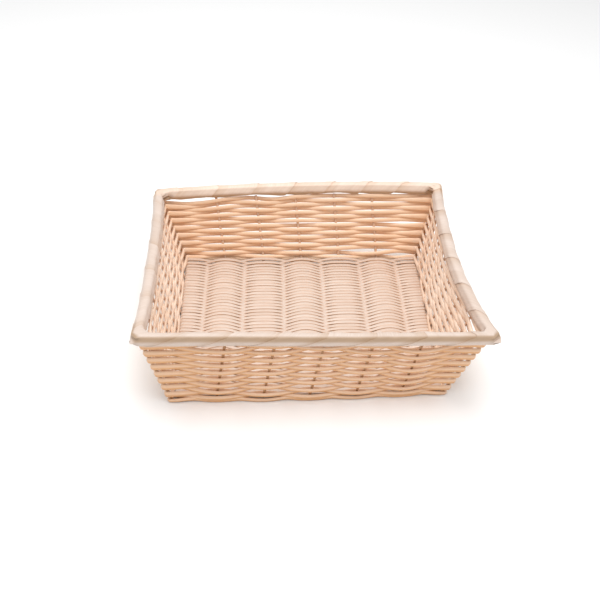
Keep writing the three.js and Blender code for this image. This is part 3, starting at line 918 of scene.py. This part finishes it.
def windStrap():
    outerLine = closeLine(rimLine(strap["outerCorner"]))
    innerLine = closeLine(rimLine(strap["innerCorner"]))
    stretches = np.linalg.norm(np.diff(outerLine[:, :2], axis=0), axis=1)
    stations = np.concatenate(([0], np.cumsum(stretches)))
    perimeter = stations[-1]
    runLength = len(outerLine) // 4
    halfCorner = (strap["cornerSteps"] - 2) // 2
    corners = stations[[number * runLength - halfCorner for number in (1, 2, 3, 4)]]
    backCorners = corners[1:3]

    steps = strap["turns"] * strap["stepsPerTurn"]
    ribbon, along, across = flatGrid("rim_binding_strap", steps, strap["stepsAcross"])
    wound = along * strap["turns"]
    turn, share = np.floor(wound).astype(int), wound % 1
    angle = 2 * math.pi * wound
    turnPitch = perimeter / strap["turns"]
    width = turnPitch + strap["overlap"]
    jitter = np.array([dice.uniform(-1, 1) for _ in range(strap["turns"] + 2)])
    wave = blend(jitter[turn], jitter[turn + 1], share)
    run = turn + np.interp(share, strap["faces"], strap["advance"])
    distance = strap["firstEdge"] + run * turnPitch + across * width + strap["uneven"] * wave
    spot = distance % perimeter

    lapShare = strap["overlap"] / width
    lapped = 1 - smoothStep(lapShare * strap["lapFull"], lapShare + strap["lapFade"], across)
    crease = strap["creaseWaves"]
    creases = np.sin(across * crease["across"] + crease["bend"] * np.sin(angle * crease["bendRate"]))
    creases = creases * np.sin(angle * crease["along"] + across * crease["slant"])
    reach = strap["lift"] * lapped + strap["crease"] * creases

    def squared(wave):
        return np.sign(wave) * np.abs(wave) ** (2 / strap["squareness"])

    outReach = squared(np.sin(angle)) * (strap["halfWidth"] + reach)
    upReach = -squared(np.cos(angle)) * (strap["halfHeight"] + reach)
    drawnIn = np.exp(-((upReach - strap["waistLevel"]) / strap["waistReach"]) ** 2)
    outReach -= np.sign(outReach) * strap["waist"] * drawnIn
    sway = np.sin(across * math.pi * strap["swayWaves"] + strap["swayShift"] * jitter[turn])
    fromCorner = np.min(np.abs(spot[:, None] - corners), axis=1)
    onFront = smoothStep(*strap["frontTurn"], np.interp(spot, stations, outerLine[:, 1]))
    hanging = strap["sag"] * (1 - strap["frontSagLoss"] * onFront) * sway
    hanging = hanging * smoothStep(*strap["cornerReach"], fromCorner)
    below = smoothStep(*strap["sagReach"], -upReach / strap["halfHeight"])
    upReach *= 1 - strap["frontTuck"] * onFront * (upReach < 0)
    upReach -= hanging * below
    fromBackCorner = np.min(np.abs(spot[:, None] - backCorners), axis=1)
    bare = np.exp(-((share - strap["gapShare"]) / strap["gapReach"]) ** 2)
    sunk = 1 - strap["gapSink"] * bare * (1 - smoothStep(*strap["gapLength"], fromBackCorner))
    outReach, upReach = outReach * sunk, upReach * sunk

    def besideLine(line, axis):
        middle = np.interp(spot, stations, line[:, axis])
        return middle + np.interp(spot, stations, line[:, 2 + axis]) * outReach

    outside = smoothStep(-strap["sideBlend"], strap["sideBlend"], outReach)
    x, y = [blend(besideLine(innerLine, axis), besideLine(outerLine, axis), outside) for axis in (0, 1)]
    placeVertices(ribbon, settle(np.column_stack((x, y, basket["hoopLevel"] + upReach))))
    bpy.ops.object.mode_set(mode="EDIT")
    bpy.ops.mesh.select_all(action="SELECT")
    bpy.ops.mesh.normals_make_consistent(inside=False)
    bpy.ops.object.mode_set(mode="OBJECT")
    solidify = ribbon.modifiers.new("thickness", "SOLIDIFY")
    solidify.thickness = strap["thickness"] * mm
    solidify.offset = -1
    bpy.ops.object.modifier_apply(modifier="thickness")
    bpy.ops.object.shade_smooth_by_angle(angle=math.radians(strap["smoothAngle"]))
    return ribbon


hoopLine = rimLine(strap["innerCorner"])[::strap["hoopStride"]]
hoopPath = np.column_stack((hoopLine, np.full(len(hoopLine), basket["hoopLevel"])))
hoopSection = strap["hoopHalfWidth"], strap["hoopHalfHeight"], strap["hoopSides"]
hoopRings = roundRings(hoopPath, *hoopSection, upward, True)
finishPiece(bendTube("rim_core_hoop", hoopRings, True), rimCorePlastic, "rim_core", "rim_hoop")
finishPiece(windStrap(), rimStrapPlastic, "rim_strap", "rim_strap")
print("rim bound")

# Pale floor, soft light and the camera, in metres
stage = {
    "floor": {
        "size": 8,
        "level": -0.0003,
        "color": (0.92, 0.92, 0.92),
        "roughness": 0.9,
        "specular": 0.1,
    },
    "skyStrength": 0.7,
    "lamps": {
        "overhead_softbox": {"place": (-0.15, 0.25, 1.4), "size": 1.1, "power": 9.4},
        "front_softbox": {"place": (0.12, -0.5, 1.45), "size": 0.8, "power": 8.8},
    },
    "camera": {
        "place": (-0.05846, -0.66578, 0.55285),
        "turn": (51.929, -1.937, -2.95),
        "lens": 48.765,
        "sensor": 36,
        "clipEnd": 50,
    },
}

ground = stage["floor"]
bpy.ops.object.select_all(action="DESELECT")
bpy.ops.mesh.primitive_plane_add(size=ground["size"], location=(0, 0, ground["level"]))
floor = bpy.context.object
floor.name = "floor"
bpy.ops.object.transform_apply(location=True)
floorPaint = bpy.data.materials.new("floor_paint")
floorPaint.use_nodes = True
floorShader = floorPaint.node_tree.nodes["Principled BSDF"]
floorShader.inputs["Base Color"].default_value = (*ground["color"], 1)
floorShader.inputs["Roughness"].default_value = ground["roughness"]
floorShader.inputs["Specular IOR Level"].default_value = ground["specular"]
floor.data.materials.append(floorPaint)

sky = bpy.data.worlds.new("soft_sky")
sky.use_nodes = True
sky.node_tree.nodes["Background"].inputs["Color"].default_value = (1, 1, 1, 1)
sky.node_tree.nodes["Background"].inputs["Strength"].default_value = stage["skyStrength"]
bpy.context.scene.world = sky

for lampName, setting in stage["lamps"].items():
    aim = (-Vector(setting["place"])).to_track_quat("-Z", "Y").to_euler()
    bpy.ops.object.light_add(type="AREA", location=setting["place"], rotation=aim)
    lamp = bpy.context.object
    lamp.name = lampName
    lamp.data.size = setting["size"]
    lamp.data.energy = setting["power"]

view = stage["camera"]
turned = [math.radians(angle) for angle in view["turn"]]
bpy.ops.object.camera_add(location=view["place"], rotation=turned)
camera = bpy.context.object
camera.data.sensor_width = view["sensor"]
camera.data.lens = view["lens"]
camera.data.clip_end = view["clipEnd"]
bpy.context.scene.camera = camera
bpy.context.scene.view_settings.view_transform = "Standard"
print("stage lit")
